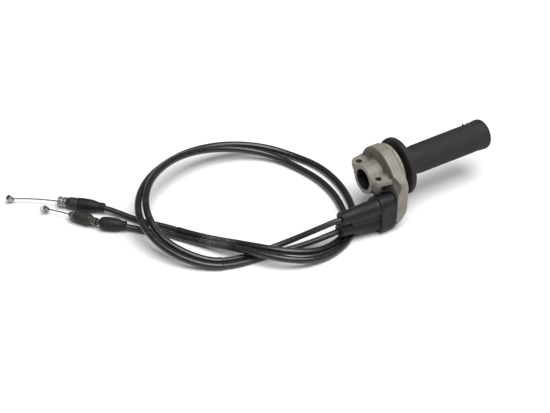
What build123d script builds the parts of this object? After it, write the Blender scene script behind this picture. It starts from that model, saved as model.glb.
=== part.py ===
from build123d import *
import math
import os

os.makedirs("parts", exist_ok=True)

# Push-pull twist throttle for a 22.2 mm handlebar, lying on a flat surface at z = 0.
# Housing, tube and grip are drawn in the bar frame: bar axis on X, clamp mouth at x = 0,
# grip end towards +X. BAR_FRAME then lifts them so that the cable neck rests on the surface.
BAR_FRAME = Location((-55, 3.5, 50))

# handlebar clamp
CLAMP_BORE_R = 11.15
CLAMP_R = 16.5
CLAMP_END = 17.5
EAR_X = 6.8
EAR_Y = 18.0
EAR_R = 7.5
EAR_TOP = 10.0
EAR_UNDERSIDE = 4.5
EAR_BOTTOM = -5.3
ROOT_FILLET = 3.2
DECK_FILLET = 6.0
POST_R = 5.2
BOLT_HOLE_R = 3.25
TAPPED_HOLE_R = 2.6
SPLIT_GAP = 0.15
SPLIT_TILT = 32

# drum case and cable neck
CASE_END = 31.0
CASE_R = 30.0
CAVITY_START = 19.5
CAVITY_END = 29.5
CASE_CIRCLES = [(0, 0, CASE_R), (-25, 0, 14), (-26, -18, 12.5), (-26, -38, 12)]
CAVITY_CIRCLES = [(0, 0, 25.5), (-26, -9, 8.5), (-25, -37.5, 9)]
NECK_CIRCLES = [(-28.5, -15.5, 9.5), (-19.5, -22, 9.5), (-27, -39, 11), (-20, -40, 10)]
NECK_START = 4.0
BOOT_WALL = 2.2
NECK_WALL = 2.4
ELBOW_X, ELBOW_Z = 5.0, -20.0
ELBOW_R = 26.0
ELBOW_INSIDE_R = 24.2
TUBE_HOLE_R = 14.0

# drum and wires
DRUM_R = 21.5
WIRE_R = 0.75
WRAP_R = 20.0
PULL_X = 22.5
RETURN_X = 26.5
GROOVE_HALF = 1.2
NIPPLE_R = 2.5
PULL_NIPPLE_DEG = 310
RETURN_NIPPLE_DEG = 80
WIRE_TO_DRUM = 8.7

# roller and guide that turn the wires from the bar direction into the drum plane
PULL_Y, PULL_Z = -28.0, -20.0
RETURN_Y, RETURN_Z = -20.0, -36.0
ROLLER_BEND_R = 5.4
GUIDE_BEND_R = 12.0
ROLLER_R = 6.0
ROLLER_HALF = 2.5
BUSH_R = 2.5
PIN_R = 1.5
SCREW_SPOTS = [(-31.0, -28.0), (-17.0, -27.5)]
ROLLER_CENTRE = Vector(PULL_X - ROLLER_BEND_R, PULL_Y + ROLLER_BEND_R, PULL_Z)

# throttle tube and grip
TUBE_BORE_R = 11.3
TUBE_R = 12.6
TUBE_START = 19.8
TUBE_FAR_END = 149.0
GRIP_END = 155.0
FLANGE_R = 31.3

# cables
CONDUIT_R = 3.1
SLEEVE_R = 3.7
SLEEVE_BORE_R = 3.2
FIT_GAP = 0.02
END_WIRE_BEND_R = 200.0
TRAVEL_DEG = 75

# cable routes in the placed frame, from the seat plate in the neck to the engine-end fitting
PULL_ROUTE = [
    (-54, -24.5, 30), (-76, -24.2, 30.3), (-99, -20.5, 31.6), (-121, -13, 23.5), (-140, -3, 13),
    (-160.3, 5.3, 5.1), (-183.5, 7.8, 3.6), (-205.1, 10.8, 3.9), (-227.3, 19.9, 3.6),
    (-248.8, 42.1, 10.6), (-260, 66.6, 17.7), (-259.7, 93.7, 26.9), (-249.3, 117.4, 32.7),
    (-227.8, 141, 34), (-196.5, 157.8, 32), (-164.3, 165.9, 25.9), (-132.2, 164.9, 18.6),
    (-102.5, 154.2, 11.6), (-80.7, 135.5, 6.8), (-68, 108, 3.7), (-60, 78, 3.7), (-60, 48, 3.7),
    (-67, 20, 3.7), (-77, -3, 3.7), (-95, -19, 3.7), (-120, -26, 5.5), (-144, -24, 10),
    (-164, -13, 13.6), (-179, 3, 13.6), (-192, 20, 12), (-207, 44, 7), (-222, 68, 3.8),
    (-239, 95, 3.7), (-257, 117, 3.1), (-269, 136, 5.2), (-280, 151.5, 7.4), (-291.6, 163.1, 7.3)]
RETURN_ROUTE = [
    (-54, -16.5, 14), (-76, -16.9, 14.4), (-100, -20, 16.4), (-123, -16, 12), (-142, -9, 6.5),
    (-160, -3, 3.3), (-178, -0.8, 3.1), (-196, 0.8, 3.1), (-212, 3.9, 3.9), (-229, 10.6, 4.5),
    (-250.3, 27.7, 9.1), (-265.4, 54.5, 15.5), (-270, 80.5, 22.6), (-266.4, 102, 28),
    (-253.1, 124.5, 29.7), (-230, 146.9, 28.8), (-199.5, 163.7, 25.9), (-167.8, 173, 22.5),
    (-135.2, 173.7, 17.8), (-105.5, 165.2, 13.5), (-78.7, 149.5, 8.2), (-59.1, 124.9, 3.8),
    (-47, 97, 3.7), (-45, 66, 3.7), (-50, 36, 3.7), (-61, 8, 3.7), (-79, -17, 3.7),
    (-102, -31, 3.7), (-127, -36.5, 5), (-148, -34.5, 9), (-166, -26, 12.5), (-181, -11, 13.6),
    (-193, 6, 13.6), (-205, 24, 11), (-218, 45, 6.5), (-231, 66, 3.7), (-245, 86, 3.7),
    (-259, 99, 3.1), (-271, 110, 5.2), (-282, 119.5, 7.2), (-290.5, 126.6, 7.8),
    (-298, 134.3, 7.9)]
PULL_SLEEVE = (8, 31)
RETURN_SLEEVE = (9, 35)


def tube_along_x(radius, start, end, y=0.0, z=0.0):
    """Solid round bar between two x positions."""
    return extrude(Plane.YZ.offset(start) * Pos(y, z) * Circle(radius), end - start)


def hull_along_x(circles, start, end, inset=0.0):
    """Bar whose section is the hull of circles given as (y, z, radius)."""
    rings = Sketch() + [Pos(y, z) * Circle(radius - inset) for y, z, radius in circles]
    return extrude(Plane.YZ.offset(start) * make_hull(rings.edges()), end - start)


def turned(points):
    """Solid turned about the bar axis from (x, radius) points."""
    profile = make_face(Plane.XY * Polyline(*points, close=True))
    return revolve(profile, Axis.X)


def block(x0, x1, y0, y1, z0, z1):
    """Box between six coordinates."""
    return Pos((x0 + x1) / 2, (y0 + y1) / 2, (z0 + z1) / 2) * Box(x1 - x0, y1 - y0, z1 - z0)


def save(name, shape, frame=BAR_FRAME):
    """Write one node and return the placed shape."""
    placed = frame * shape
    placed.label = name
    export_step(placed, f"parts/{name}.step")
    return placed


def path_wire(points):
    """Straight runs joined by tangent arcs, each as large as its two runs allow."""
    vectors = [Vector(*p) for p in points]
    radii = []
    for before, corner, after in zip(vectors, vectors[1:], vectors[2:]):
        run_in, run_out = corner - before, after - corner
        half_turn = math.radians(run_in.get_angle(run_out)) / 2
        radii.append(0.45 * min(run_in.length, run_out.length) / math.tan(half_turn))
    return FilletPolyline(*vectors, radius=radii), radii


def rod(path, radius, bore=0.0):
    """Round section swept along a path, hollow if a bore is given."""
    start = Plane(path @ 0, z_dir=path % 0)
    solid = sweep(start * Circle(radius), path)
    if bore:
        solid -= sweep(start * Circle(bore), path)
    return solid


def elbow(radius):
    """Region that rounds the case where the cable neck turns into the drum plane."""
    corner = Pos(ELBOW_X, -25, ELBOW_Z) * Rot(X=90) * Cylinder(radius, 70)
    return corner + block(-10, 45, -60, 60, ELBOW_Z, 60)


def case_body():
    """Outer shape of both housing halves together."""
    case = hull_along_x(CASE_CIRCLES, CLAMP_END, CASE_END)
    case = fillet(case.faces().sort_by(Axis.X)[0].edges(), 1.8)
    case = fillet(case.faces().sort_by(Axis.X)[-1].edges(), 1.6)
    slope = make_face(Polyline((-12, 40), (0, 40), (0, 6), (-6, -8), (-12, -8), close=True))
    case -= Pos(CLAMP_END, -28, 0) * Rot(Z=26.6) * extrude(Plane.XZ * slope, 25)
    case &= elbow(ELBOW_R)
    root_start = CLAMP_END - ROOT_FILLET
    root = make_face([
        Line((root_start, 9), (root_start, CLAMP_R)),
        JernArc((root_start, CLAMP_R), (1, 0), ROOT_FILLET, 90),
        Line((CLAMP_END, CLAMP_R + ROOT_FILLET), (CLAMP_END + 1, CLAMP_R + ROOT_FILLET)),
        Line((CLAMP_END + 1, CLAMP_R + ROOT_FILLET), (CLAMP_END + 1, 9)),
        Line((CLAMP_END + 1, 9), (root_start, 9))])
    neck = hull_along_x(NECK_CIRCLES, NECK_START, CLAMP_END, BOOT_WALL)
    return case + revolve(root, Axis.X) + tube_along_x(CLAMP_R, 0, CLAMP_END + 1) + neck


def ear_deck(bottom, top):
    """Bolt ears on both sides of the bar, joined back to the case."""
    plan = Sketch()
    for side in (-1, 1):
        ear = Pos(EAR_X, side * EAR_Y) * Circle(EAR_R)
        back = Pos(CLAMP_END, side * (EAR_Y + 1)) * Rectangle(2, 2 * EAR_R + 2)
        plan += make_hull((Sketch() + [ear, back]).edges())
        plan += Pos(9, side * EAR_Y / 2) * Rectangle(17.5, EAR_Y)
    return extrude(Plane.XY.offset(bottom) * plan, top - bottom)


def ear_posts(top):
    """Round posts under the upper ears, set back from their edge."""
    posts = [Pos(EAR_X, side * EAR_Y, top / 2) * Cylinder(POST_R, top) for side in (-1, 1)]
    return posts[0] + posts[1] + block(1, CLAMP_END + 1, 0, EAR_Y + 3, 0, top)


def cavity():
    """Space for drum, wires, roller and guide, and the holes for bar and tube."""
    wall = BOOT_WALL + NECK_WALL
    space = hull_along_x(CAVITY_CIRCLES, CAVITY_START, CAVITY_END) & elbow(ELBOW_INSIDE_R)
    space += hull_along_x(NECK_CIRCLES, NECK_START - 1, CLAMP_END - 1, wall)
    space += hull_along_x(NECK_CIRCLES, CLAMP_END - 1.5, CAVITY_START + 1, wall) & elbow(ELBOW_INSIDE_R)
    space += tube_along_x(CLAMP_BORE_R, -1, CAVITY_START + 1)
    space += tube_along_x(TUBE_HOLE_R, CAVITY_END - 1, CASE_END + 1)
    x, y = ROLLER_CENTRE.X, ROLLER_CENTRE.Y
    space += Pos(x, y, -19.8) * Cylinder(ROLLER_R + 0.5, 6.8)
    space += Pos(x, y, -16) * Cylinder(3.7, 3)
    return space


def shelf():
    """Rib across the neck that carries the roller pin, guide and plate screws."""
    rib = block(6.6, 24.2, -40, -5, -27.2, -23.2)
    rib += block(6.6, 12.5, -40, -5, -31.2, -23.2)
    rib &= hull_along_x(NECK_CIRCLES, 6.6, 24.2, BOOT_WALL + NECK_WALL - 0.4)
    rib -= Pos(ROLLER_CENTRE.X, ROLLER_CENTRE.Y, -25) * Cylinder(PIN_R, 10)
    for y, z in SCREW_SPOTS:
        rib -= tube_along_x(1.25, 5, 11, y, z)
    return rib


def half_space(side):
    """Region of the upper (+1) or lower (-1) housing half."""
    big = 80
    tilt = Rot(X=SPLIT_TILT)
    flat = block(-5, CLAMP_END, -big, big, SPLIT_GAP, big)
    tilted = block(CLAMP_END + SPLIT_GAP, 40, -big, big, SPLIT_GAP, big)
    bridge = block(CLAMP_END - 1, CLAMP_END + 1, -big, big, SPLIT_GAP, big)
    if side < 0:
        flat, tilted, bridge = (mirror(solid, Plane.XY) for solid in (flat, tilted, bridge))
    return flat + tilt * tilted + (bridge & tilt * bridge)


def housing_upper():
    body = case_body() + ear_deck(EAR_UNDERSIDE, EAR_TOP) + ear_posts(EAR_UNDERSIDE + 1)
    strip_top = EAR_TOP + DECK_FILLET
    fillet_strip = Plane.XZ * make_face([
        Line((CLAMP_END - DECK_FILLET, EAR_TOP), (18, EAR_TOP)),
        Line((18, EAR_TOP), (18, strip_top)),
        Line((18, strip_top), (CLAMP_END, strip_top)),
        JernArc((CLAMP_END, strip_top), (0, -1), DECK_FILLET, -90)])
    body += extrude(fillet_strip, 22, both=True)
    for side in (-1, 1):
        body -= Pos(EAR_X, side * EAR_Y, 5) * Cylinder(BOLT_HOLE_R, 14)
    return (body - cavity()) & half_space(1)


def housing_lower():
    body = case_body()
    for side in (-1, 1):
        body += Pos(EAR_X, side * EAR_Y, EAR_BOTTOM / 2) * Cylinder(POST_R, -EAR_BOTTOM)
    body = body - cavity() + shelf()
    for side in (-1, 1):
        body -= Pos(EAR_X, side * EAR_Y, -5) * Cylinder(TAPPED_HOLE_R, 14)
    return body & half_space(-1)


def drum_point(degrees, radius=WRAP_R):
    """(y, z) on the drum, angle measured from +Y towards +Z."""
    angle = math.radians(degrees)
    return radius * math.cos(angle), radius * math.sin(angle)


def throttle_tube():
    tube = turned([
        (TUBE_START, TUBE_BORE_R), (TUBE_START, 15), (20.3, 15), (20.3, DRUM_R), (28.7, DRUM_R),
        (28.7, 13.7), (31.4, 13.7), (31.4, 27.4), (32, 28), (34.6, 28), (35.2, 27.4),
        (35.2, TUBE_R), (TUBE_FAR_END, TUBE_R), (TUBE_FAR_END, TUBE_BORE_R)])
    groove_bottom = WRAP_R - WIRE_R - 0.15
    for x in (PULL_X, RETURN_X):
        tube -= turned([(x - GROOVE_HALF, groove_bottom), (x - GROOVE_HALF, DRUM_R + 1),
                        (x + GROOVE_HALF, DRUM_R + 1), (x + GROOVE_HALF, groove_bottom)])
    for degrees, start, end in ((PULL_NIPPLE_DEG, 19, 24.4), (RETURN_NIPPLE_DEG, 24.6, 30)):
        tube -= tube_along_x(NIPPLE_R + 0.1, start, end, *drum_point(degrees, 19))
    return tube


def grip_rubber():
    """Closed-end grip: flange, thin root, raised barrel and end bead."""
    inner = TUBE_R + 0.1
    points = [
        (35.8, inner), (35.8, 16.5), (39.5, 17), (40.4, FLANGE_R - 2.5), (41, FLANGE_R - 0.8),
        (42, FLANGE_R), (46, FLANGE_R), (47, FLANGE_R - 1), (47.4, FLANGE_R - 3),
        (48.2, 17.4), (50, 15.6), (53, 14.8), (61, 14.7), (63, 15.3), (138, 15.5), (143, 15.9),
        (GRIP_END - 8.5, 16.4), (GRIP_END - 4, 16.5), (GRIP_END - 1.9, 15.5),
        (GRIP_END - 0.5, 13.4), (GRIP_END, 10.5), (GRIP_END, 0),
        (TUBE_FAR_END + 0.2, 0), (TUBE_FAR_END + 0.2, inner)]
    return turned(points)


def drum_nipple(degrees, start, end, wire_x):
    y, z = drum_point(degrees, 19)
    return tube_along_x(NIPPLE_R, start, end, y, z) - wrapped_wire(wire_x, degrees - 10, degrees + 10)


def wrapped_wire(x, start_deg, end_deg):
    """Wire lying in a drum groove between two angles."""
    section = Plane.XY * Pos(x, WRAP_R) * Circle(WIRE_R)
    return Rot(X=start_deg) * revolve(section, Axis.X, end_deg - start_deg)


def pull_wire_inside():
    """From the seat plate round the roller and along the drum plane."""
    path = FilletPolyline(
        Vector(4.2, PULL_Y, PULL_Z), Vector(PULL_X, PULL_Y, PULL_Z),
        Vector(PULL_X, -WIRE_TO_DRUM, PULL_Z), radius=ROLLER_BEND_R)
    return rod(path, WIRE_R)


def return_wire_inside():
    """From the seat plate round the fixed guide and up the drum plane."""
    path = FilletPolyline(
        Vector(4.2, RETURN_Y, RETURN_Z), Vector(RETURN_X, RETURN_Y, RETURN_Z),
        Vector(RETURN_X, RETURN_Y, -WIRE_TO_DRUM), radius=GUIDE_BEND_R)
    return rod(path, WIRE_R)


def roller():
    groove_r = ROLLER_BEND_R - WIRE_R - 0.3
    half = GROOVE_HALF
    profile = make_face(Plane.XZ * Polyline(
        (BUSH_R + 0.06, -ROLLER_HALF), (ROLLER_R, -ROLLER_HALF), (ROLLER_R, -half - 0.6),
        (groove_r, -half), (groove_r, half), (ROLLER_R, half + 0.6), (ROLLER_R, ROLLER_HALF),
        (BUSH_R + 0.06, ROLLER_HALF), close=True))
    return Pos(ROLLER_CENTRE) * revolve(profile, Axis.Z)


def roller_bush():
    centre = Pos(ROLLER_CENTRE.X, ROLLER_CENTRE.Y, -20.2)
    return centre * (Cylinder(BUSH_R, 6) - Cylinder(PIN_R + 0.05, 6))


def roller_pin():
    x, y = ROLLER_CENTRE.X, ROLLER_CENTRE.Y
    shank = Pos(x, y, (-27.2 - 17.2) / 2) * Cylinder(PIN_R, 10)
    head = Pos(x, y, -16.2) * Cylinder(3.2, 2) - Pos(x, y, -15.4) * Box(8, 0.8, 1)
    return shank + head


def return_guide():
    """Fixed quarter-round guide under the shelf."""
    centre_x, centre_z = RETURN_X - GUIDE_BEND_R, RETURN_Z + GUIDE_BEND_R
    disc = Pos(centre_x, RETURN_Y, centre_z) * Rot(X=90) * Cylinder(GUIDE_BEND_R + 1, 5)
    disc &= block(centre_x, 24.2, -30, -10, -40, -27.2)
    return disc - guide_groove(centre_x, centre_z)


def guide_groove(centre_x, centre_z):
    """Channel for the wire in the rim of the guide."""
    rim = Rot(X=90) * (Cylinder(GUIDE_BEND_R + 3, 1.9) - Cylinder(GUIDE_BEND_R - WIRE_R - 0.1, 1.9))
    return Pos(centre_x, RETURN_Y, centre_z) * rim


def seat_plate():
    plate = hull_along_x(NECK_CIRCLES, 4.2, 6.4, BOOT_WALL + NECK_WALL + 0.2)
    for y, z in ((PULL_Y, PULL_Z), (RETURN_Y, RETURN_Z)):
        plate -= tube_along_x(3.2, 3, 8, y, z)
    for y, z in SCREW_SPOTS:
        plate -= tube_along_x(1.3, 3, 8, y, z)
    return plate


def seat_screws():
    screws = []
    for y, z in SCREW_SPOTS:
        screw = tube_along_x(1.2, 4.2, 11, y, z) + tube_along_x(2.2, 2.6, 4.2, y, z)
        screws.append(screw - tube_along_x(0.9, 2, 3.6, y, z))
    return Compound(children=screws)


def housing_ferrule(y, z):
    """Metal end of a conduit, pressed into the seat plate."""
    ferrule = tube_along_x(4.0, 1.0, 4.2, y, z) + tube_along_x(3.15, 4.2, 8, y, z)
    return ferrule - tube_along_x(WIRE_R + 0.15, 3.2, 9, y, z)


def tapered(start, end):
    """Cone between two circles given as (x, y, z, radius)."""
    faces = [Plane.YZ.offset(x) * Pos(y, z) * Circle(radius) for x, y, z, radius in (start, end)]
    return loft(faces)


def cable_boot():
    """Rubber boot: block over the neck and one tapered outlet per cable."""
    boot = hull_along_x(NECK_CIRCLES, 1.5, CLAMP_END - 0.1)
    boot += hull_along_x([(y, z, r + 0.3) for y, z, r in NECK_CIRCLES[:2]]
                         + NECK_CIRCLES[2:], CLAMP_END - 2.4, CLAMP_END - 0.1)
    boot = boot - hull_along_x(NECK_CIRCLES, 1.5, CLAMP_END + 1, BOOT_WALL - 0.05)
    boot += hull_along_x(NECK_CIRCLES, -0.5, 1.6, 0.4)
    outlets = {
        "pull": ((2, -27.5, -17.5, 9.6), (-34, -24.8, -18.2, 7.6), (-43, -24, -18.5, 7.1)),
        "return": ((2, -24.5, -38.2, 10.8), (-31, -23.6, -34, 7.7), (-44, -23.5, -33.5, 6.9))}
    for base, middle, tip in outlets.values():
        boot += tapered(base, middle) + tapered(middle, tip)
        lip = (tip[0] + 2.5, tip[1], tip[2], tip[3] + 0.5)
        boot += tapered(lip, (tip[0], tip[1], tip[2], tip[3] + 0.5))
    boot += tapered((1, -26, -27.5, 8.6), (-32, -24.3, -26.2, 5.8))
    for base, middle, tip in outlets.values():
        shrink = (2.5, base[1], base[2], base[3] - 1.5)
        inner = (middle[0], middle[1], middle[2], CONDUIT_R + 1.4)
        boot -= tapered(shrink, inner)
    return boot


def fitting_plane(mouth, direction, slope):
    """Frame of an engine-end fitting: x along its axis, z nearly upright."""
    along = Vector(direction[0], direction[1], 0).normalized() + Vector(0, 0, slope)
    side = Vector(0, 0, 1).cross(along)
    return Plane(mouth, x_dir=along, z_dir=along.cross(side))


# engine-end fittings: x = 0 at the mouth where the bare wire comes out
PULL_MOUTH = fitting_plane((-315.5, 187.5, 6.6), (-0.70, 0.714), -0.02)
RETURN_MOUTH = fitting_plane((-316.0, 162.0, 6.8), (-0.545, 0.838), -0.03)
RETURN_BOOT_SEAT = fitting_plane((-287.5, 124.2, 7.5), (-0.77, 0.64), 0.03)
FITTING_BORE_R = 3.5
MOUTH_HOLE_R = 1.3


def pull_fitting():
    """Ferrule, nut and faceted cap of the pull cable."""
    bore = tube_along_x(FITTING_BORE_R, -34, -3)
    mouth = tube_along_x(MOUTH_HOLE_R, -4, 1)
    ferrule = tube_along_x(4.1, -34, -0.6) - bore - mouth
    nut = extrude(Plane.YZ.offset(-9.2) * RegularPolygon(5.6, 6), 9.2)
    nut -= tube_along_x(4.1, -10, -0.6) + mouth
    nut -= tube_along_x(7, -5.6, -4.2) - tube_along_x(4.7, -6, -4)
    cap = extrude(Plane.YZ.offset(-21.6) * RegularPolygon(6.4, 8), 8)
    cap += loft([Plane.YZ.offset(x) * RegularPolygon(r, 8) for x, r in ((-13.6, 6.4), (-9.4, 5.2))])
    cap += tube_along_x(6.9, -22.6, -21.2)
    cap -= tube_along_x(4.15, -30, -9)
    return {"pull_end_ferrule": ferrule, "pull_lock_nut": nut, "pull_cap": cap}


def pull_end_boot():
    """Rubber boot behind the cap, pulled down over the conduit."""
    return turned([(-22.8, 4.2), (-22.8, 6.8), (-24, 7.0), (-34, 7.0), (-40, 6.2), (-43.5, 5.2),
                   (-45, 4.8), (-50.5, 4.7), (-51, 4.2), (-51, 0), (-34.2, 0), (-34.2, 4.2)])


def return_fitting():
    """Ferrule with cone, lock nut and ribbed adjuster of the return cable."""
    bore = tube_along_x(FITTING_BORE_R, -33, -3)
    mouth = tube_along_x(MOUTH_HOLE_R, -4, 1)
    ferrule = turned([(-33, 0), (-33, 4.1), (-3.8, 4.1), (-3, 3.9), (0, 2.2), (0, 0)]) - bore - mouth
    nut = extrude(Plane.YZ.offset(-7.4) * RegularPolygon(6.2, 6), 3.4) - tube_along_x(4.15, -8, -3)
    ribs = []
    for index in range(6):
        x = -9.2 - 2.7 * index
        ribs += [(x, 6.5), (x - 1.5, 6.5), (x - 1.9, 5.7), (x - 2.3, 5.7)]
    adjuster = turned([(-7.6, 4.15), (-7.6, 5.6), (-8.8, 5.7)] + ribs
                      + [(-25.6, 5.2), (-27, 4.9), (-27, 4.15)])
    return {"return_end_ferrule": ferrule, "return_lock_nut": nut, "return_adjuster": adjuster}


def return_boot():
    """Oval rubber boot slid back along the return conduit."""
    return turned([(-17, 0), (-17, 4.4), (-16.4, 4.8), (-12, 4.9), (-11.4, 5.6), (-8, 6.6), (-3, 7.1),
                   (3, 7.1), (8, 6.6), (10.4, 5.6), (11, 4.6), (11, 0)])


def end_wire(exposed, inside):
    """Bare wire on a circle beside the mouth, from inside the fitting to its nipple."""
    section = Plane.YZ * Circle(WIRE_R)
    axis = Axis((0, END_WIRE_BEND_R, 0), (0, 0, 1))
    sweep_deg = math.degrees((exposed + inside) / END_WIRE_BEND_R)
    back_deg = math.degrees(inside / END_WIRE_BEND_R)
    return revolve(section, axis, sweep_deg).rotate(axis, -back_deg)


def at_wire_end(exposed, shape):
    """Move a shape drawn at the origin to the end of the exposed wire."""
    return shape.rotate(Axis((0, END_WIRE_BEND_R, 0), (0, 0, 1)), math.degrees(exposed / END_WIRE_BEND_R))


def barrel_nipple(radius, height):
    """Barrel swivelled on the wire's end, open at both ends."""
    barrel = Cylinder(radius, height) - Cylinder(radius - 1.2, height)
    return Pos(radius - 1.0, 0, 0) * Rot(X=-17, Y=35) * barrel - tube_along_x(WIRE_R, -3, 0)


def nipple_clip():
    """Thin bent clip round the return nipple."""
    line = FilletPolyline((-1.5, 4.2, 0), (5.5, 4.4, 0), (8.2, 0, 0), (6.4, -4.4, 0), radius=1.2)
    return rod(line, 0.45)


PULL_EXPOSED = 50.0
RETURN_EXPOSED = 25.0

object_pieces = []
for name, shape in {
        "housing_upper": housing_upper(),
        "housing_lower": housing_lower(),
        "seat_plate": seat_plate(),
        "seat_plate_screws": seat_screws(),
        "pull_housing_ferrule": housing_ferrule(PULL_Y, PULL_Z),
        "return_housing_ferrule": housing_ferrule(RETURN_Y, RETURN_Z),
        "cable_roller": roller(),
        "roller_bush": roller_bush(),
        "roller_pin": roller_pin(),
        "return_guide": return_guide(),
        "pull_wire_inside": pull_wire_inside(),
        "return_wire_inside": return_wire_inside(),
        "throttle_tube": throttle_tube(),
        "grip_rubber": grip_rubber(),
        "pull_drum_nipple": drum_nipple(PULL_NIPPLE_DEG, 20.5, 24.3, PULL_X),
        "return_drum_nipple": drum_nipple(RETURN_NIPPLE_DEG, 24.7, 28.5, RETURN_X),
        "pull_wire_on_drum": wrapped_wire(PULL_X, 270, PULL_NIPPLE_DEG),
        "return_wire_on_drum": wrapped_wire(RETURN_X, RETURN_NIPPLE_DEG, 180)}.items():
    object_pieces.append(save(name, shape))

placed_boot = BAR_FRAME * cable_boot()
end_boots = {
    "pull": PULL_MOUTH.location * pull_end_boot(),
    "return": RETURN_BOOT_SEAT.location * return_boot()}
for name, points, (first, last) in (
        ("pull", PULL_ROUTE, PULL_SLEEVE), ("return", RETURN_ROUTE, RETURN_SLEEVE)):
    path, radii = path_wire(points)
    conduit = rod(path, CONDUIT_R)
    save(f"{name}_cable", conduit, Location())
    placed_boot -= rod(path_wire(points[:4])[0], CONDUIT_R + FIT_GAP)
    end_boots[name] -= rod(path_wire(points[-5:])[0], CONDUIT_R + FIT_GAP)
    middle = [Vector(*p) for p in points[first:last + 1]]
    start = (Vector(*points[first - 1]) + middle[0]) / 2
    end = (middle[-1] + Vector(*points[last + 1])) / 2
    sleeve_path = FilletPolyline(start, *middle, end, radius=radii[first - 1:last])
    save(f"{name}_sleeve", rod(sleeve_path, SLEEVE_R, SLEEVE_BORE_R), Location())
    save(f"{name}_end_boot", end_boots[name], Location())
    expected = math.pi * CONDUIT_R ** 2 * path.length
    print(name, "cable length", round(path.length, 1), "volume ratio", round(conduit.volume / expected, 4))
    print(name, "bend radii", [round(r) for r in radii])
object_pieces.append(save("cable_boot", placed_boot, Location()))

pull_pieces = pull_fitting() | {
    "pull_end_wire": end_wire(PULL_EXPOSED, 5),
    "pull_end_nipple": at_wire_end(PULL_EXPOSED, barrel_nipple(3.1, 6.8))}
return_pieces = return_fitting() | {
    "return_end_wire": end_wire(RETURN_EXPOSED, 29),
    "return_end_nipple": at_wire_end(RETURN_EXPOSED, barrel_nipple(2.8, 5.4)),
    "return_nipple_clip": at_wire_end(RETURN_EXPOSED, nipple_clip())}
for mouth, pieces in ((PULL_MOUTH, pull_pieces), (RETURN_MOUTH, return_pieces)):
    for name, shape in pieces.items():
        save(name, shape, mouth.location)
    print("wire turns about", mouth.from_local_coords(Vector(0, END_WIRE_BEND_R, 0)), mouth.z_dir)

travel = math.radians(TRAVEL_DEG) * WRAP_R
print("wire travel", round(travel, 2), "end wire turn", round(math.degrees(travel / END_WIRE_BEND_R), 3))
print("roller turn", round(math.degrees(travel / ROLLER_BEND_R), 2))
object_box = Compound(children=object_pieces).bounding_box()
print("object box", object_box.min, object_box.max)
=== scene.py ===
"""Looks for the twist throttle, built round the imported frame. Metres, row frame."""
import math

import bmesh
import bpy
import numpy as np
from mathutils import Matrix, Vector, noise


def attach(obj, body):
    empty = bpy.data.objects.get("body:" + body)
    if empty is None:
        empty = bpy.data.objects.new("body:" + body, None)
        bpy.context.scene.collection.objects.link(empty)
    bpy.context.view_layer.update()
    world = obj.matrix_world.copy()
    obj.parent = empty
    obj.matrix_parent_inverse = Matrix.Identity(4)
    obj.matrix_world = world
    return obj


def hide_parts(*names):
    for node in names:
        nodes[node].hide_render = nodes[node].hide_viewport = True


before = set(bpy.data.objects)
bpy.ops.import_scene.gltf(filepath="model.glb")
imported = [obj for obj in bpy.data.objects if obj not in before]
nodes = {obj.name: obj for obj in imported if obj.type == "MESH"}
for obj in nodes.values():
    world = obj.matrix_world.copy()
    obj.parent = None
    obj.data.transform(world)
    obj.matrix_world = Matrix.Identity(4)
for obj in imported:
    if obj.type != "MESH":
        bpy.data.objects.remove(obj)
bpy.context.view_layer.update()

MM = 0.001
BAR_PLACE = (-55, 3.5, 50)  # where the bar axis meets the clamp mouth, mm
collection = bpy.context.scene.collection
noise.seed_set(1)  # unset, its vectors change from run to run

# ---------------------------------------------------------------- camera
AZIMUTH, ELEVATION = math.radians(-31.84), math.radians(38.26)
CAMERA_PLACE = (-0.96951, -1.29751, 1.26657)
LENS_MM = 126.98


def make_camera():
    back = Vector((math.sin(AZIMUTH) * math.cos(ELEVATION),
                   -math.cos(AZIMUTH) * math.cos(ELEVATION), math.sin(ELEVATION)))
    camera = bpy.data.objects.new("camera", bpy.data.cameras.new("camera"))
    camera.data.sensor_width = 36
    camera.data.lens = LENS_MM
    camera.data.clip_end = 20
    camera.location = CAMERA_PLACE
    camera.rotation_mode = "QUATERNION"
    camera.rotation_quaternion = (-back).to_track_quat("-Z", "Y")
    collection.objects.link(camera)
    bpy.context.scene.camera = camera


make_camera()

# ---------------------------------------------------------------- cable routes, mm
PULL_ROUTE = [
    (-54, -24.5, 30), (-76, -24.2, 30.3), (-99, -20.5, 31.6), (-121, -13, 23.5), (-140, -3, 13),
    (-160.3, 5.3, 5.1), (-183.5, 7.8, 3.6), (-205.1, 10.8, 3.9), (-227.3, 19.9, 3.6),
    (-248.8, 42.1, 10.6), (-260, 66.6, 17.7), (-259.7, 93.7, 26.9), (-249.3, 117.4, 32.7),
    (-227.8, 141, 34), (-196.5, 157.8, 32), (-164.3, 165.9, 25.9), (-132.2, 164.9, 18.6),
    (-102.5, 154.2, 11.6), (-80.7, 135.5, 6.8), (-68, 108, 3.7), (-60, 78, 3.7), (-60, 48, 3.7),
    (-67, 20, 3.7), (-77, -3, 3.7), (-95, -19, 3.7), (-120, -26, 5.5), (-144, -24, 10),
    (-164, -13, 13.6), (-179, 3, 13.6), (-192, 20, 12), (-207, 44, 7), (-222, 68, 3.8),
    (-239, 95, 3.7), (-257, 117, 3.1), (-269, 136, 5.2), (-280, 151.5, 7.4), (-291.6, 163.1, 7.3)]
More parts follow.
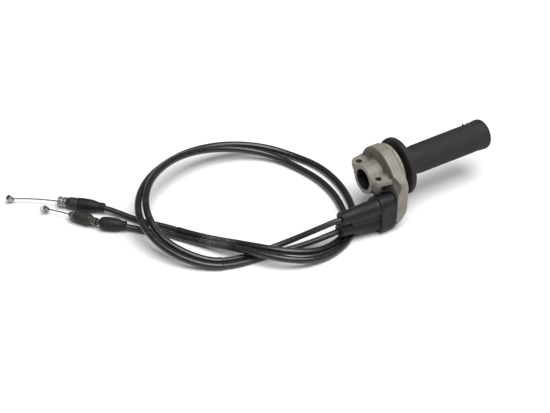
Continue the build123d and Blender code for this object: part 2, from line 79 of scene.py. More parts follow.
RETURN_ROUTE = [
    (-54, -16.5, 14), (-76, -16.9, 14.4), (-100, -20, 16.4), (-123, -16, 12), (-142, -9, 6.5),
    (-160, -3, 3.3), (-178, -0.8, 3.1), (-196, 0.8, 3.1), (-212, 3.9, 3.9), (-229, 10.6, 4.5),
    (-250.3, 27.7, 9.1), (-265.4, 54.5, 15.5), (-270, 80.5, 22.6), (-266.4, 102, 28),
    (-253.1, 124.5, 29.7), (-230, 146.9, 28.8), (-199.5, 163.7, 25.9), (-167.8, 173, 22.5),
    (-135.2, 173.7, 17.8), (-105.5, 165.2, 13.5), (-78.7, 149.5, 8.2), (-59.1, 124.9, 3.8),
    (-47, 97, 3.7), (-45, 66, 3.7), (-50, 36, 3.7), (-61, 8, 3.7), (-79, -17, 3.7),
    (-102, -31, 3.7), (-127, -36.5, 5), (-148, -34.5, 9), (-166, -26, 12.5), (-181, -11, 13.6),
    (-193, 6, 13.6), (-205, 24, 11), (-218, 45, 6.5), (-231, 66, 3.7), (-245, 86, 3.7),
    (-259, 99, 3.1), (-271, 110, 5.2), (-282, 119.5, 7.2), (-290.5, 126.6, 7.8),
    (-298, 134.3, 7.9)]
PULL_SLEEVE = (8, 31)
RETURN_SLEEVE = (9, 35)
CONDUIT_R = 3.1
SLEEVE_R = 3.7
SLEEVE_BORE_R = 3.12
WIRE_R = 0.75
END_WIRE_BEND_R = 200.0
PULL_EXPOSED = 50.0
RETURN_EXPOSED = 25.0


def cord_curve(name, route):
    """Smooth cable on one open NURBS spline through the route's control points."""
    curve = bpy.data.curves.new(name, "CURVE")
    curve.dimensions = "3D"
    spline = curve.splines.new("NURBS")
    spline.points.add(len(route) - 1)
    for point, place in zip(spline.points, route):
        point.co = (*(c * MM for c in place), 1)
    spline.order_u = 3
    spline.use_endpoint_u = True
    spline.resolution_u = 14
    curve.bevel_depth = CONDUIT_R * MM
    curve.bevel_resolution = 7
    curve.use_fill_caps = True
    piece = bpy.data.objects.new(name, curve)
    collection.objects.link(piece)
    return piece


def spline_points(piece):
    """The smooth line of a cord, in mm."""
    bare = bpy.data.objects.new("bare", piece.data.copy())
    bare.data.bevel_depth = 0
    mesh = bpy.data.meshes.new_from_object(bare)
    points = np.array([v.co for v in mesh.vertices]) / MM
    bpy.data.meshes.remove(mesh)
    bpy.data.curves.remove(bare.data)
    return points


pull_cable = cord_curve("pull_cable_line", PULL_ROUTE)
return_cable = cord_curve("return_cable_line", RETURN_ROUTE)


# ---------------------------------------------------------------- node graphs
class Graph:
    """One procedural material on the Principled shader, in object coordinates (metres)."""

    def __init__(self, name, roughness=0.5, metallic=0.0, **sockets):
        self.material = bpy.data.materials.new(name)
        self.material.use_nodes = True
        self.tree = self.material.node_tree
        self.tree.nodes.clear()
        self.shader = self.tree.nodes.new("ShaderNodeBsdfPrincipled")
        output = self.tree.nodes.new("ShaderNodeOutputMaterial")
        self.tree.links.new(self.shader.outputs["BSDF"], output.inputs["Surface"])
        self.place = self.tree.nodes.new("ShaderNodeTexCoord").outputs["Object"]
        self.shader.inputs["Roughness"].default_value = roughness
        self.shader.inputs["Metallic"].default_value = metallic
        for socket, value in sockets.items():
            self.shader.inputs[socket.replace("_", " ")].default_value = value

    def node(self, kind, inputs, output=0, **settings):
        made = self.tree.nodes.new(kind)
        for key, value in settings.items():
            setattr(made, key, value)
        for key, value in inputs.items():
            if isinstance(value, bpy.types.NodeSocket):
                self.tree.links.new(value, made.inputs[key])
            else:
                made.inputs[key].default_value = value
        return made.outputs[output]

    def noise(self, scale, detail=3.0, roughness=0.55, vector=None, distortion=0.0):
        return self.node("ShaderNodeTexNoise", {
            "Vector": vector or self.place, "Scale": scale, "Detail": detail,
            "Roughness": roughness, "Distortion": distortion}, "Fac")

    def span(self, value, low, high, to_low=0.0, to_high=1.0):
        """Map low..high to to_low..to_high, clamped, with a smooth step."""
        return self.node("ShaderNodeMapRange", {
            0: value, 1: low, 2: high, 3: to_low, 4: to_high}, interpolation_type="SMOOTHSTEP")

    def calc(self, operation, a, b=0.0):
        return self.node("ShaderNodeMath", {0: a, 1: b}, operation=operation)

    def mix(self, share, a, b):
        rgba = [v if isinstance(v, bpy.types.NodeSocket) else (*v, 1.0) for v in (a, b)]
        return self.node("ShaderNodeMix", {0: share, 6: rgba[0], 7: rgba[1]}, 2, data_type="RGBA")

    def near(self, point, inner, outer):
        """1 within inner mm of a point in the row frame, falling to 0 at outer mm."""
        distance = self.node("ShaderNodeVectorMath", {
            0: self.place, 1: tuple(c * MM for c in point)}, "Value", operation="DISTANCE")
        return self.span(distance, outer * MM, inner * MM)

    def stretched(self, scale, turn=(0.0, 0.0, 0.0)):
        return self.node("ShaderNodeMapping", {
            "Vector": self.place, "Rotation": turn, "Scale": scale})

    def along(self, axis):
        return self.node("ShaderNodeSeparateXYZ", {0: self.place}, axis)

    def bore_shade(self):
        """Where shade is painted in the bore: 1 on the bore's wall, 0 outside it, by distance from the
        bar axis.
        """
        y = self.calc("SUBTRACT", self.along("Y"), BAR_PLACE[1] * MM)
        z = self.calc("SUBTRACT", self.along("Z"), BAR_PLACE[2] * MM)
        squares = self.calc("ADD", self.calc("MULTIPLY", y, y), self.calc("MULTIPLY", z, z))
        return self.span(self.calc("SQRT", squares), 0.0121, 0.0116)

    def crevice(self, reach):
        """1 in corners and recesses, 0 in the open."""
        open_share = self.node("ShaderNodeAmbientOcclusion", {"Distance": reach * MM}, "AO", samples=8)
        return self.span(open_share, 0.85, 0.25)

    def edge(self, low=0.515, high=0.58):
        """1 on outer edges."""
        return self.span(self.node("ShaderNodeNewGeometry", {}, "Pointiness"), low, high)

    def bump(self, height, distance, strength=1.0, normal=None):
        """Bump with its height in mm."""
        inputs = {"Height": height, "Distance": distance * MM, "Strength": strength}
        if normal is not None:
            inputs["Normal"] = normal
        return self.node("ShaderNodeBump", inputs)

    def finish(self, color=None, roughness=None, normal=None):
        for socket, value in (("Base Color", color), ("Roughness", roughness), ("Normal", normal)):
            if value is not None:
                self.tree.links.new(value, self.shader.inputs[socket])
        return self.material


# ---------------------------------------------------------------- materials
def cast_alloy():
    g = Graph("cast_alloy", roughness=0.55, metallic=0.25)
    grain = g.noise(1900, 4, 0.6)
    cloud = g.noise(95, 4, 0.6)
    color = g.mix(g.span(cloud, 0.3, 0.7), (0.185, 0.168, 0.143), (0.25, 0.232, 0.202))
    color = g.mix(g.span(grain, 0.62, 0.85, 0, 0.35), color, (0.16, 0.14, 0.115))
    # Darker and browner in corners and recesses: some brown dirt, with painted shade on top of it.
    color = g.mix(g.calc("MULTIPLY", g.crevice(7.0), 0.85), color, (0.055, 0.041, 0.03))
    # Painted shade with some brown dirt: the drum's front faces, turned towards -X, are darkened.
    faces = g.node("ShaderNodeSeparateXYZ", {0: g.node("ShaderNodeNewGeometry", {}, "Normal")}, "X")
    darkening = g.calc("MULTIPLY", g.span(faces, -0.35, -0.9), g.span(g.along("X"), -0.042, -0.0385))
    darkening = g.calc("MULTIPLY", darkening, g.span(cloud, 0.2, 0.7, 0.85, 0.6))
    color = g.mix(darkening, color, (0.075, 0.061, 0.047))
    # Painted shadow under the front ear of the clamp.
    ear_shadow = g.calc("MULTIPLY", g.near((-45, -17, 45), 5, 11), g.span(g.along("Z"), 0.0549, 0.0543))
    color = g.mix(g.calc("MULTIPLY", ear_shadow, 0.85), color, (0.04, 0.031, 0.023))
    # A yellow-green stain by the clamp's side.
    tint_share = g.calc("MULTIPLY", g.near((-53, 20, 50), 2, 9), g.span(g.noise(420, 3), 0.42, 0.55))
    color = g.mix(g.calc("MULTIPLY", tint_share, 0.7), color, (0.3, 0.29, 0.05))
    # Painted shade: the clamp's bore wall nearly black.
    color = g.mix(g.bore_shade(), color, (0.014, 0.012, 0.011))
    scratch_noise = g.noise(260, 5, 0.7, g.stretched((0.35, 1.0, 3.2), (0.5, 0.2, 0.0)), 0.6)
    scratch = g.calc("MULTIPLY", g.near((-28, -33, 26), 6, 17), g.span(scratch_noise, 0.56, 0.6))
    color = g.mix(g.calc("MULTIPLY", scratch, 0.75), color, (0.12, 0.1, 0.09))
    color = g.mix(g.calc("MULTIPLY", g.edge(), 0.5), color, (0.55, 0.53, 0.5))
    rough = g.span(cloud, 0.3, 0.7, 0.46, 0.62)
    normal = g.bump(grain, 0.10, 0.7, g.bump(g.noise(520, 3), 0.16, 0.6))
    return g.finish(color, rough, normal)


def grip_rubber():
    g = Graph("grip_rubber", roughness=0.72, Specular_IOR_Level=0.32)
    cloud = g.noise(70, 5, 0.62)
    fine = g.noise(1500, 3, 0.6)
    color = g.mix(g.span(cloud, 0.35, 0.7), (0.0145, 0.0135, 0.0135), (0.024, 0.0215, 0.021))
    dust = g.calc("MULTIPLY", g.span(g.noise(330, 5, 0.7), 0.56, 0.72), g.span(fine, 0.4, 0.6))
    color = g.mix(g.calc("MULTIPLY", dust, 0.35), color, (0.085, 0.07, 0.055))
    color = g.mix(g.calc("MULTIPLY", g.edge(0.51, 0.6), 0.22), color, (0.06, 0.055, 0.052))
    tan_end = g.near((100, 3.5, 50), 5, 17)
    color = g.mix(g.calc("MULTIPLY", tan_end, 0.3), color, (0.045, 0.037, 0.024))
    rough = g.span(cloud, 0.3, 0.7, 0.62, 0.82)
    return g.finish(color, rough, g.bump(fine, 0.06, 0.6))


def boot_rubber():
    g = Graph("boot_rubber", roughness=0.55, Specular_IOR_Level=0.3)
    cloud = g.noise(110, 4, 0.6)
    fine = g.noise(1300, 3)
    color = g.mix(g.span(cloud, 0.35, 0.68), (0.0052, 0.0052, 0.0066), (0.0095, 0.0092, 0.011))
    dust = g.span(g.noise(600, 5, 0.72), 0.6, 0.78)
    color = g.mix(g.calc("MULTIPLY", dust, 0.18), color, (0.07, 0.064, 0.058))
    rough = g.span(cloud, 0.3, 0.7, 0.48, 0.64)
    return g.finish(color, rough, g.bump(fine, 0.035, 0.5))


def sheath():
    g = Graph("cable_sheath", roughness=0.4)
    cloud = g.noise(160, 5, 0.65)
    color = g.mix(g.span(cloud, 0.35, 0.7), (0.0105, 0.0105, 0.0115), (0.018, 0.017, 0.017))
    far = g.near((-292, 145, 8), 15, 75)
    # Brown grime towards the far ends of the cables.
    darkening = g.calc("MULTIPLY", far, g.span(g.noise(420, 5, 0.7), 0.44, 0.62))
    color = g.mix(g.calc("MULTIPLY", darkening, 0.45), color, (0.045, 0.037, 0.031))
    rough = g.span(cloud, 0.3, 0.7, 0.3, 0.48)
    return g.finish(color, rough, g.bump(g.noise(900, 3), 0.03, 0.4))


def sleeve():
    g = Graph("cable_sleeve", roughness=0.22, Specular_IOR_Level=0.55)
    cloud = g.noise(130, 5, 0.6)
    color = g.mix(g.span(cloud, 0.35, 0.7), (0.0075, 0.0075, 0.009), (0.0125, 0.0125, 0.014))
    worn = g.calc("MULTIPLY", g.near((-205, 42, 10), 10, 26), g.span(g.noise(500, 5, 0.7), 0.42, 0.56))
    color = g.mix(g.calc("MULTIPLY", worn, 0.7), color, (0.1, 0.1, 0.1))
    rough = g.calc("ADD", g.span(cloud, 0.3, 0.7, 0.16, 0.3), g.calc("MULTIPLY", worn, 0.4))
    return g.finish(color, rough, g.bump(g.noise(240, 3), 0.05, 0.35))


def black_plastic():
    g = Graph("black_plastic", roughness=0.5)
    dirt = g.calc("MULTIPLY", g.crevice(1.6), g.span(g.noise(520, 4), 0.35, 0.55))
    color = g.mix(g.span(g.noise(300, 4), 0.35, 0.7), (0.009, 0.0085, 0.0085), (0.018, 0.016, 0.015))
    color = g.mix(g.calc("MULTIPLY", dirt, 0.45), color, (0.11, 0.09, 0.07))
    rough = g.span(g.noise(700, 3), 0.3, 0.7, 0.4, 0.6)
    return g.finish(color, rough, g.bump(g.noise(1400, 3), 0.04, 0.5))


def nylon():
    g = Graph("nylon", roughness=0.42)
    cloud = g.noise(210, 4, 0.6)
    color = g.mix(g.span(cloud, 0.35, 0.68), (0.2, 0.186, 0.135), (0.27, 0.25, 0.185))
    # Painted shade: darker and browner in corners and recesses.
    tint_share = g.calc("MULTIPLY", g.crevice(3.0), 0.6)
    color = g.mix(tint_share, color, (0.16, 0.13, 0.08))
    # Painted shade: the tube's bore wall nearly black.
    color = g.mix(g.bore_shade(), color, (0.018, 0.016, 0.014))
    return g.finish(color, g.span(cloud, 0.3, 0.7, 0.36, 0.5), g.bump(g.noise(1500, 3), 0.03, 0.4))


def zinc_steel():
    g = Graph("zinc_steel", roughness=0.36, metallic=0.9)
    cloud = g.noise(380, 5, 0.65)
    color = g.mix(g.span(cloud, 0.35, 0.65), (0.24, 0.24, 0.23), (0.42, 0.42, 0.405))
    dirt = g.calc("MULTIPLY", g.crevice(1.5), g.span(g.noise(900, 4), 0.3, 0.5))
    color = g.mix(g.calc("MULTIPLY", dirt, 0.85), color, (0.05, 0.04, 0.03))
    return g.finish(color, g.span(cloud, 0.3, 0.7, 0.28, 0.5), g.bump(g.noise(1600, 3), 0.03, 0.5))


def dirty_steel():
    g = Graph("dirty_steel", roughness=0.5, metallic=0.6)
    cloud = g.noise(420, 5, 0.7)
    color = g.mix(g.span(cloud, 0.4, 0.62), (0.04, 0.034, 0.028), (0.17, 0.16, 0.14))
    return g.finish(color, g.span(cloud, 0.3, 0.7, 0.6, 0.4), g.bump(g.noise(1300, 4), 0.05, 0.6))


def brass():
    g = Graph("brass", roughness=0.35, metallic=1.0)
    cloud = g.noise(500, 4, 0.6)
    color = g.mix(g.span(cloud, 0.35, 0.65), (0.42, 0.27, 0.1), (0.58, 0.4, 0.17))
    return g.finish(color, g.span(cloud, 0.3, 0.7, 0.28, 0.45), g.bump(g.noise(2200, 2), 0.02, 0.4))


def wire_steel():
    g = Graph("wire_steel", roughness=0.38, metallic=0.85)
    cloud = g.noise(700, 4, 0.6)
    color = g.mix(g.span(cloud, 0.35, 0.65), (0.13, 0.124, 0.115), (0.24, 0.23, 0.215))
    return g.finish(color, g.span(cloud, 0.3, 0.7, 0.3, 0.5), g.bump(g.noise(2600, 2), 0.02, 0.4))


ALLOY, RUBBER, BOOT = cast_alloy(), grip_rubber(), boot_rubber()
SHEATH, SLEEVE, PLASTIC = sheath(), sleeve(), black_plastic()
NYLON, ZINC, DIRTY, BRASS, WIRE = nylon(), zinc_steel(), dirty_steel(), brass(), wire_steel()

CAD_FINISH = {
    "throttle_tube": NYLON, "return_guide": NYLON, "cable_roller": NYLON, "roller_bush": BRASS,
    "roller_pin": ZINC, "seat_plate": ZINC, "seat_plate_screws": ZINC, "pull_housing_ferrule": ZINC,
    "return_housing_ferrule": ZINC, "pull_end_ferrule": ZINC, "return_end_ferrule": DIRTY,
    "pull_drum_nipple": ZINC, "return_drum_nipple": ZINC, "pull_wire_inside": WIRE,
    "return_wire_inside": WIRE, "pull_wire_on_drum": WIRE, "return_wire_on_drum": WIRE,
    "pull_end_nipple": ZINC, "return_end_nipple": ZINC, "return_nipple_clip": WIRE}
for node, finish in CAD_FINISH.items():
    nodes[node].data.materials.clear()
    nodes[node].data.materials.append(finish)


# ---------------------------------------------------------------- mesh tools
def add_piece(name, mesh, finish, body, slot, *replaced):
    piece = bpy.data.objects.new(name, mesh)
    collection.objects.link(piece)
    return declare(piece, finish, body, slot, *replaced)


def declare(piece, finish, body, slot, *replaced):
    piece.data.materials.clear()
    piece.data.materials.append(finish)
    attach(piece, body)
    if replaced:
        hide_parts(*replaced)
    return piece


class Straight:
    """Places along the x axis of a matrix, in mm."""

    def __init__(self, matrix):
        self.matrix = np.array(matrix)

    def at(self, distance):
        origin = self.matrix[:3, 3] + distance * self.matrix[:3, 0]
        return origin, self.matrix[:3, 1], self.matrix[:3, 2]


class Along:
    """Places along a line of points, in mm, with a frame that doesn't twist."""

    def __init__(self, points):
        self.points = np.array(points, float)
        steps = np.linalg.norm(np.diff(self.points, axis=0), axis=1)
        self.distance = np.concatenate([[0], np.cumsum(steps)])
        tangents = np.gradient(self.points, self.distance, axis=0)
        self.tangents = tangents / np.linalg.norm(tangents, axis=1)[:, None]
        side = np.cross((0, 0, 1), self.tangents[0])
        sides = []
        for tangent in self.tangents:
            side = side - tangent * (side @ tangent)
            side = side / np.linalg.norm(side)
            sides.append(side)
        self.sides = np.array(sides)

    def nearest(self, place):
        """Distance along the line of its point nearest to a place."""
        return self.distance[np.linalg.norm(self.points - np.array(place), axis=1).argmin()]

    def at(self, distance):
        origin, tangent, side = (
            np.array([np.interp(distance, self.distance, rows[:, k]) for k in range(3)])
            for rows in (self.points, self.tangents, self.sides))
        tangent = tangent / np.linalg.norm(tangent)
        side = side - tangent * (side @ tangent)
        side = side / np.linalg.norm(side)
        return origin, side, np.cross(tangent, side)


def turned(path, profile, segments=64, shape=None, closed=True):
    """Mesh of rings round a path. Each profile point is (distance, radius); shape may vary a ring."""
    angles = np.linspace(0, 2 * np.pi, segments, endpoint=False)
    rings = []
    for distance, radius in profile:
        radii = np.full(segments, radius) if shape is None else shape(distance, angles, radius)
        origin, side, up = path.at(distance)
        outwards = np.cos(angles)[:, None] * side + np.sin(angles)[:, None] * up
        rings.append(origin + radii[:, None] * outwards)
    count = len(profile)
    faces = []
    for i in range(count if closed else count - 1):
        j = (i + 1) % count
        for k in range(segments):
            n = (k + 1) % segments
            faces.append((i * segments + k, i * segments + n, j * segments + n, j * segments + k))
    mesh = bpy.data.meshes.new("turned")
    mesh.from_pydata((np.concatenate(rings) * MM).tolist(), [], faces)
    clean(mesh)
    return mesh


def clean(mesh):
    """Weld, drop flat faces, turn normals outwards and shade smooth."""
    work = bmesh.new()
    work.from_mesh(mesh)
    bmesh.ops.remove_doubles(work, verts=work.verts, dist=1e-7)
    bmesh.ops.dissolve_degenerate(work, edges=work.edges, dist=1e-8)
    bmesh.ops.recalc_face_normals(work, faces=work.faces)
    for face in work.faces:
        face.smooth = True
    work.to_mesh(mesh)
    work.free()


def rounded(profile, rounds=2, closed=False, share=0.25):
    """Cut a profile's corners until they look moulded."""
    points = [np.array(p, float) for p in profile]
    for _ in range(rounds):
        pairs = list(zip(points, points[1:] + points[:1])) if closed else list(zip(points, points[1:]))
        cut = [q for a, b in pairs for q in (a + (b - a) * share, b + (a - b) * share)]
        points = cut if closed else [points[0]] + cut[1:-1] + [points[-1]]
    return [tuple(p) for p in points]


def eased(profile, radius, closed=True):
    """Replace each sharp corner by a short arc of about the given size."""
    points = [np.array(p, float) for p in profile]
    result = []
    for i, corner in enumerate(points):
        if not closed and i in (0, len(points) - 1):
            result.append(corner)
            continue
        before, after = points[i - 1], points[(i + 1) % len(points)]
        run_in, run_out = before - corner, after - corner
        reach_in = min(radius, 0.45 * np.linalg.norm(run_in)) / max(np.linalg.norm(run_in), 1e-9)
        reach_out = min(radius, 0.45 * np.linalg.norm(run_out)) / max(np.linalg.norm(run_out), 1e-9)
        a, b = corner + run_in * reach_in, corner + run_out * reach_out
        for t in (0.0, 0.33, 0.67, 1.0):
            result.append((1 - t) ** 2 * a + 2 * t * (1 - t) * corner + t * t * b)
    return [tuple(p) for p in result]


def spaced(profile, step, closed=True):
    """Add points so that no run of a profile is longer than step."""
    points = [np.array(p, float) for p in profile]
    pairs = list(zip(points, points[1:] + (points[:1] if closed else [])))
    result = []
    for a, b in pairs:
        pieces = max(1, math.ceil(np.linalg.norm(b - a) / step))
        result += [a + (b - a) * i / pieces for i in range(pieces)]
    if not closed:
        result.append(points[-1])
    return [tuple(p) for p in result]


def polygon(sides, radius, angles, limit, turn=0.0):
    """Ring of a regular polygon, cut down to a limiting radius."""
    sector = 2 * np.pi / sides
    flat = radius * np.cos(sector / 2) / np.cos((angles + turn) % sector - sector / 2)
    return np.minimum(flat, limit)


def wobble(points, size, scale, seed):
    """Move mesh points by a smooth noise of a given size in mm."""
    offset = Vector((seed * 7.3, seed * 1.9, seed * 4.1))
    for vertex in points:
        vertex.co += noise.noise_vector(vertex.co * scale + offset) * size * MM


def recast(name, node, voxel, rounds, finish, body, slot, lumps=0.0):
    """Copy of a CAD node with its edges melted as a casting's or moulding's are."""
    piece = bpy.data.objects.new(name, nodes[node].data.copy())
    collection.objects.link(piece)
    weld = piece.modifiers.new("weld", "WELD")
    weld.merge_threshold = 2e-6
    remesh = piece.modifiers.new("remesh", "REMESH")
    remesh.mode = "VOXEL"
    remesh.voxel_size = voxel * MM
    remesh.use_smooth_shade = True
    smooth = piece.modifiers.new("smooth", "SMOOTH")
    smooth.factor = 0.5
    smooth.iterations = rounds
    evaluated = piece.evaluated_get(bpy.context.evaluated_depsgraph_get())
    mesh = bpy.data.meshes.new_from_object(evaluated)
    piece.modifiers.clear()
    piece.data = mesh
    if lumps:
        wobble(mesh.vertices, lumps, 130, len(name))
    return declare(piece, finish, body, slot, node)


# ---------------------------------------------------------------- housing and boot
recast("housing_upper_cast", "housing_upper", 0.4, 5, ALLOY, "housing", "cast_alloy", 0.12)
recast("housing_lower_cast", "housing_lower", 0.4, 5, ALLOY, "housing", "cast_alloy", 0.12)
recast("cable_boot_moulded", "cable_boot", 0.5, 3, BOOT, "housing", "boot_rubber", 0.25)

# ---------------------------------------------------------------- grip
BAR = Matrix.Translation(BAR_PLACE)
PATTERN_START, PATTERN_END = 64.0, 137.0
ROW_PITCH = 2.6
ROW_COUNT = 32
NUBS = ((134.2, 47, 2.6), (139.8, 45, 1.8))


def grip_shape(distance, angles, radius):
    """Worn waffle on the barrel, small nubs left from the mould and a slightly uneven flange."""
    result = np.full(len(angles), radius)
    if radius > 26:
        result += 0.22 * np.sin(3 * angles + 1) + 0.12 * np.sin(11 * angles) * np.cos(5 * angles)
    if radius < 14:
        return result
    if PATTERN_START < distance < PATTERN_END:
        row = (distance - PATTERN_START) / ROW_PITCH
        column = angles / (2 * np.pi) * ROW_COUNT + 0.5 * (int(row) % 2)
        across = np.abs((column % 1) - 0.5) * 2
        along = abs((row % 1) - 0.5) * 2
        depth = np.clip((np.maximum(across, along) - 0.62) / 0.26, 0, 1)
        depth = depth * depth * (3 - 2 * depth)
        fade = min(1.0, (distance - PATTERN_START) / 2, (PATTERN_END - distance) / 2)
        result += 0.2 * fade - 0.42 * fade * depth
    for nub_x, nub_deg, height in NUBS:
        turn = (angles - math.radians(nub_deg) + np.pi) % (2 * np.pi) - np.pi
        result += height * np.exp(-((distance - nub_x) ** 2 + (15 * turn) ** 2) / (2 * 0.5 ** 2))
    return result


def make_grip():
    outer = [
        (35.8, 12.7), (35.8, 16.4), (39.5, 17), (40.3, 26), (40.6, 29.3), (41.2, 30.8), (42.2, 31.2),
        (45.8, 31.2), (46.8, 30.4), (47.3, 28), (47.6, 22), (48.4, 17.4), (50, 15.7), (53, 14.9),
        (60.6, 14.7), (62.2, 14.8), (63.4, 15.25), (138, 15.45), (138.8, 15.25), (140, 15.25),
        (141, 15.75), (145, 16.1), (147, 16.35), (150.6, 16.4), (152.9, 15.5), (154.3, 13.5),
        (154.9, 11), (155, 6), (155, 0.01)]
    inner = [(149.2, 0.01), (149.2, 12.7)]
    profile = spaced(eased(outer, 0.5, closed=False), 0.36, closed=False) + inner
    mesh = turned(Straight(BAR), profile, 256, grip_shape)
    add_piece("grip_moulded", mesh, RUBBER, "throttle", "grip_rubber", "grip_rubber")


make_grip()

# ---------------------------------------------------------------- cables and sleeves
lines = {"pull": Along(spline_points(pull_cable)), "return": Along(spline_points(return_cable))}
for cable, node in ((pull_cable, "pull_cable"), (return_cable, "return_cable")):
    declare(cable, SHEATH, "housing", "cable_sheath", node)


def between(a, b):
    return tuple((p + q) / 2 for p, q in zip(a, b))


def make_sleeve(kind, route, ends):
    """Loose outer tube over the middle of a cable."""
    first, last = ends
    line = lines[kind]
    start = line.nearest(between(route[first - 1], route[first]))
    end = line.nearest(between(route[last], route[last + 1]))
    outer = spaced([(start, SLEEVE_R), (end, SLEEVE_R)], 1.6, closed=False)
    inner = [(distance, SLEEVE_BORE_R) for distance, _ in reversed(outer)]
    ease = [(start, SLEEVE_R - 0.2), (start + 0.2, SLEEVE_R)]
    ease_end = [(end - 0.2, SLEEVE_R), (end, SLEEVE_R - 0.2)]
    profile = ease + outer[1:-1] + ease_end + inner
    return add_piece(f"{kind}_sleeve_tube", turned(line, profile, 32), SLEEVE, "housing",
                     "cable_sleeve", f"{kind}_sleeve")


pull_sleeve = make_sleeve("pull", PULL_ROUTE, PULL_SLEEVE)
return_sleeve = make_sleeve("return", RETURN_ROUTE, RETURN_SLEEVE)


# ---------------------------------------------------------------- engine-end fittings
def fitting_matrix(mouth, direction, slope):
    """x runs along the fitting and out of its mouth, z is nearly upright."""
    along = Vector((*direction, 0)).normalized() + Vector((0, 0, slope))
    along.normalize()
    side = Vector((0, 0, 1)).cross(along).normalized()
    up = along.cross(side)
    return Matrix.Translation(mouth) @ Matrix((along, side, up)).transposed().to_4x4()


PULL_MOUTH = fitting_matrix((-315.5, 187.5, 6.6), (-0.70, 0.714), -0.02)
RETURN_MOUTH = fitting_matrix((-316.0, 162.0, 6.8), (-0.545, 0.838), -0.03)
RETURN_BOOT_SEAT = fitting_matrix((-287.5, 124.2, 7.5), (-0.77, 0.64), 0.03)


def fitting_part(name, mouth, profile, finish, slot, node, segments=72, shape=None, ease=0.25):
    mesh = turned(Straight(mouth), eased(profile, ease), segments, shape)
    return add_piece(name, mesh, finish, "housing", slot, node)


def hexagon(radius, turn=0.0):
    """Hexagon that the profile's own radius chamfers."""
    def shape(distance, angles, limit):
        if limit < radius * 0.8:
            return np.full(len(angles), limit)
        return polygon(6, radius, angles, limit, turn)
    return shape


def octagon(distance, angles, limit):
    """Eight flats on the cap's body, with its neck and rear rim left round."""
    if limit < 4.9 or distance < -21.4:
        return np.full(len(angles), limit)
    return polygon(8, limit * 1.03, angles, limit, 0.2)


def end_line(mouth, exposed, inside):
    """Centreline of a bare wire, on its arc, in mm."""
    turns = np.linspace(-inside, exposed, 200) / END_WIRE_BEND_R
    local = np.stack([END_WIRE_BEND_R * np.sin(turns), END_WIRE_BEND_R * (1 - np.cos(turns)),
                      np.zeros(200), np.ones(200)], 1)
    return Along((local @ np.array(mouth).T)[:, :3])


def strands(distance, angles, radius):
    """Six outer strands wound round the core of a wire."""
    if radius < 0.2:
        return np.full(len(angles), radius)
    return radius * (0.93 + 0.11 * np.abs(np.cos(3 * (angles - distance * 2 * np.pi / 9))))


def end_wire(name, mouth, exposed, inside, body, node):
    long = exposed + inside
    core = WIRE_R * 0.94
    profile = [(0, 0.01)] + spaced([(0, core), (long, core)], 0.45, False) + [(long, 0.01)]
    mesh = turned(end_line(mouth, exposed, inside), profile, 36, strands, closed=False)
    return add_piece(name, mesh, WIRE, body, "wire_steel", node)


pull_nut = fitting_part("pull_nut_hex", PULL_MOUTH, [
    (0, 1.3), (0, 4.9), (-0.9, 5.6), (-3.4, 5.6), (-4.2, 5.0), (-4.3, 4.7), (-5.5, 4.7), (-5.6, 5.0),
    (-6.4, 5.6), (-8.4, 5.6), (-9.2, 5.0), (-9.2, 4.12), (-0.6, 4.12), (-0.6, 1.3)],
    ZINC, "zinc_steel", "pull_lock_nut", 96, hexagon(5.6))
pull_cap = fitting_part("pull_cap_faceted", PULL_MOUTH, [
    (-9.4, 4.2), (-9.4, 4.9), (-10, 5.3), (-13.6, 6.35), (-21.2, 6.35), (-21.4, 6.5), (-21.6, 6.9),
    (-22.5, 6.9), (-22.6, 6.7), (-22.6, 4.2)],
    PLASTIC, "black_plastic", "pull_cap", 96, octagon)
pull_boot = fitting_part("pull_boot_end", PULL_MOUTH, rounded([
    (-22.8, 4.25), (-22.8, 6.6), (-24, 7.0), (-29, 7.0), (-34, 6.9), (-38, 6.5), (-41, 5.8),
    (-43.5, 5.2), (-44.2, 4.75), (-45.2, 4.65), (-46, 4.95), (-50.3, 4.85), (-51, 4.3), (-51, 3.16),
    (-36, 3.16), (-34.2, 4.2)], 1, True), BOOT, "boot_rubber", "pull_end_boot", 72)
return_nut = fitting_part("return_nut_hex", RETURN_MOUTH, [
    (-4, 4.12), (-4, 5.5), (-4.7, 6.15), (-6.7, 6.15), (-7.4, 5.5), (-7.4, 4.12)],
    DIRTY, "zinc_steel", "return_lock_nut", 96, hexagon(6.15, 0.4))


def adjuster_profile():
    ribs = []
    for index in range(6):
        x = -9.2 - 2.7 * index
        ribs += [(x, 6.45), (x - 1.5, 6.45), (x - 1.9, 5.6), (x - 2.3, 5.6)]
    return [(-7.6, 4.15), (-7.6, 5.5), (-8.8, 5.6)] + ribs + [(-25.6, 5.2), (-27, 4.9), (-27, 4.15)]


def notched(distance, angles, radius):
    """Grip notches cut along the ribs."""
    if radius < 6:
        return np.full(len(angles), radius)
    return radius - 0.35 * np.clip(np.cos(12 * angles) * 4 - 2.6, 0, 1)


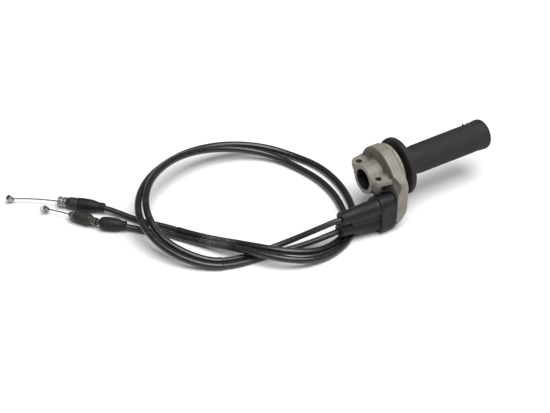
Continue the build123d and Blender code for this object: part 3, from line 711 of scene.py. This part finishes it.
return_adjuster = fitting_part("return_adjuster_ribbed", RETURN_MOUTH, adjuster_profile(), PLASTIC,
                               "black_plastic", "return_adjuster", 144, notched, 0.3)
return_boot = fitting_part("return_boot_end", RETURN_BOOT_SEAT, rounded([
    (-17, 3.18), (-17, 4.3), (-16.4, 4.8), (-14.6, 4.9), (-14.2, 4.5), (-13.4, 4.5), (-13, 4.9),
    (-11.8, 5.1), (-8.5, 6.5), (-3, 7.05), (3, 7.05), (8, 6.6), (10.2, 5.6), (11, 4.5), (11, 3.18)],
    1, True), BOOT, "boot_rubber", "return_end_boot", 72)
pull_wire = end_wire("pull_wire_strands", PULL_MOUTH, PULL_EXPOSED, 5, "pull_wire", "pull_end_wire")
return_wire = end_wire("return_wire_strands", RETURN_MOUTH, RETURN_EXPOSED, 29, "return_wire",
                       "return_end_wire")


# ---------------------------------------------------------------- floor and light
def make_floor():
    mesh = bpy.data.meshes.new("floor")
    mesh.from_pydata([(-4, -4, 0), (4, -4, 0), (4, 4, 0), (-4, 4, 0)], [], [(0, 1, 2, 3)])
    floor = bpy.data.objects.new("floor", mesh)
    collection.objects.link(floor)
    g = Graph("floor", roughness=0.9, Specular_IOR_Level=0.1)
    g.shader.inputs["Base Color"].default_value = (0.86, 0.86, 0.86, 1)
    mesh.materials.append(g.material)


def area_light(name, place, target, size, power):
    light = bpy.data.lights.new(name, "AREA")
    light.shape = "RECTANGLE"
    light.size, light.size_y = size
    light.energy = power
    lamp = bpy.data.objects.new(name, light)
    lamp.location = place
    lamp.rotation_mode = "QUATERNION"
    lamp.rotation_quaternion = (Vector(target) - Vector(place)).to_track_quat("-Z", "Y")
    collection.objects.link(lamp)


def make_world():
    world = bpy.data.worlds.new("world")
    world.use_nodes = True
    background = world.node_tree.nodes["Background"]
    background.inputs["Color"].default_value = (1, 1, 1, 1)
    background.inputs["Strength"].default_value = 0.28
    bpy.context.scene.world = world
    bpy.context.scene.view_settings.view_transform = "Standard"


make_floor()
make_world()
area_light("key", (0.1, -0.85, 3.0), (-0.1, 0.05, 0), (3.2, 2.6), 150)
